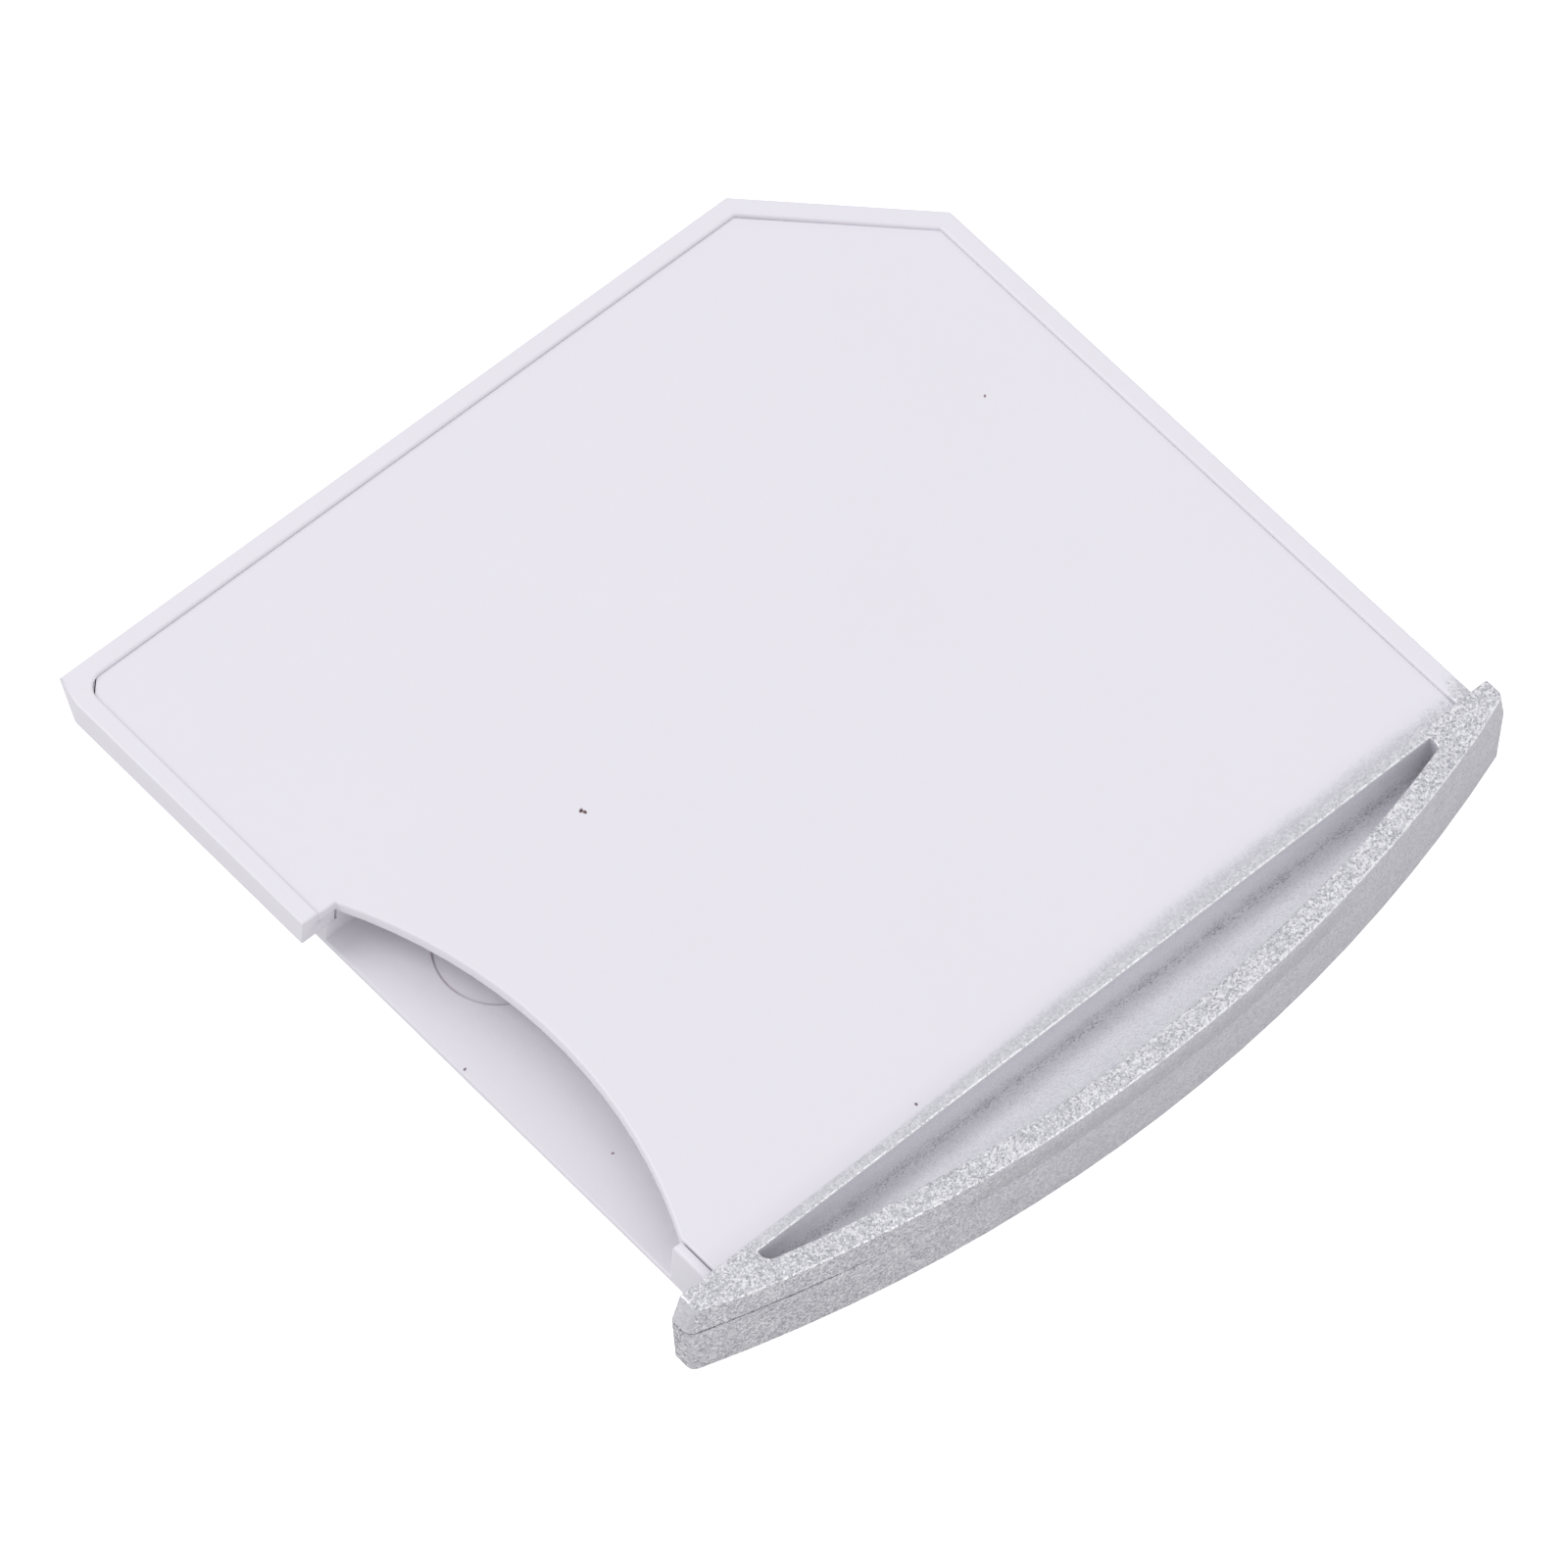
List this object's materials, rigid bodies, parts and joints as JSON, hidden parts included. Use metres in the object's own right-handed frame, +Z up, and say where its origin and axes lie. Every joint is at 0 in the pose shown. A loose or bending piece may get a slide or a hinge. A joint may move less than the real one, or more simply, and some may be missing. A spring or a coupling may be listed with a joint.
{
  "type": "memory card adapter",
  "caption": "Thin white card-shaped adapter with a cut corner, a side slot under a curved thumb cut-out for a smaller card, and a silver pull lip with a fingernail pocket.",
  "frame": {"origin": "middle of the whole part in plan, on the plane that the pull lip rests on", "axes": "+X across the width, with the card slot at -X; +Y the way the adapter goes into its host; +Z up, label side on top"},
  "size_m": [0.025, 0.0236, 0.0026],
  "materials": {
    "white_plastic": "fine matt, off-white",
    "silver_paint": "sprayed silver with visible flakes, on plastic",
    "contact_gold": "gold-plated",
    "spring_steel": "rolled strip",
    "insulator": "moulded, dark"
  },
  "bodies": {
    "housing": {"rim_frame": "white_plastic", "cover_plate": "white_plastic", "base_shell": "white_plastic", "lip_upper": "silver_paint", "lip_lower": "silver_paint", "contact_carrier": "insulator", "lead_dat1": "contact_gold", "lead_dat0": "contact_gold", "lead_ground": "contact_gold", "lead_clock": "contact_gold", "lead_supply": "contact_gold", "lead_command": "contact_gold", "lead_dat3": "contact_gold", "lead_dat2": "contact_gold"},
    "contact_fingers": {"finger_dat1": "contact_gold", "finger_dat0": "contact_gold", "finger_ground": "contact_gold", "finger_clock": "contact_gold", "finger_supply": "contact_gold", "finger_command": "contact_gold", "finger_dat3": "contact_gold", "finger_dat2": "contact_gold"},
    "detent": {"detent_spring": "spring_steel"}
  },
  "joints": [
    {"name": "fingers_flex", "type": "hinge", "parent": "housing", "child": "contact_fingers", "pos_m": [0.00495, -0.0024, 0.00115], "axis": [0, -1, 0], "range_deg": [0, 6.3], "stiffness_Nm_per_rad": 0.004},
    {"name": "detent_flex", "type": "hinge", "parent": "housing", "child": "detent", "pos_m": [-0.00885, -0.0083, 0.00148], "axis": [0, 0, -1], "range_deg": [0, 3.6], "stiffness_Nm_per_rad": 0.004}
  ]
}
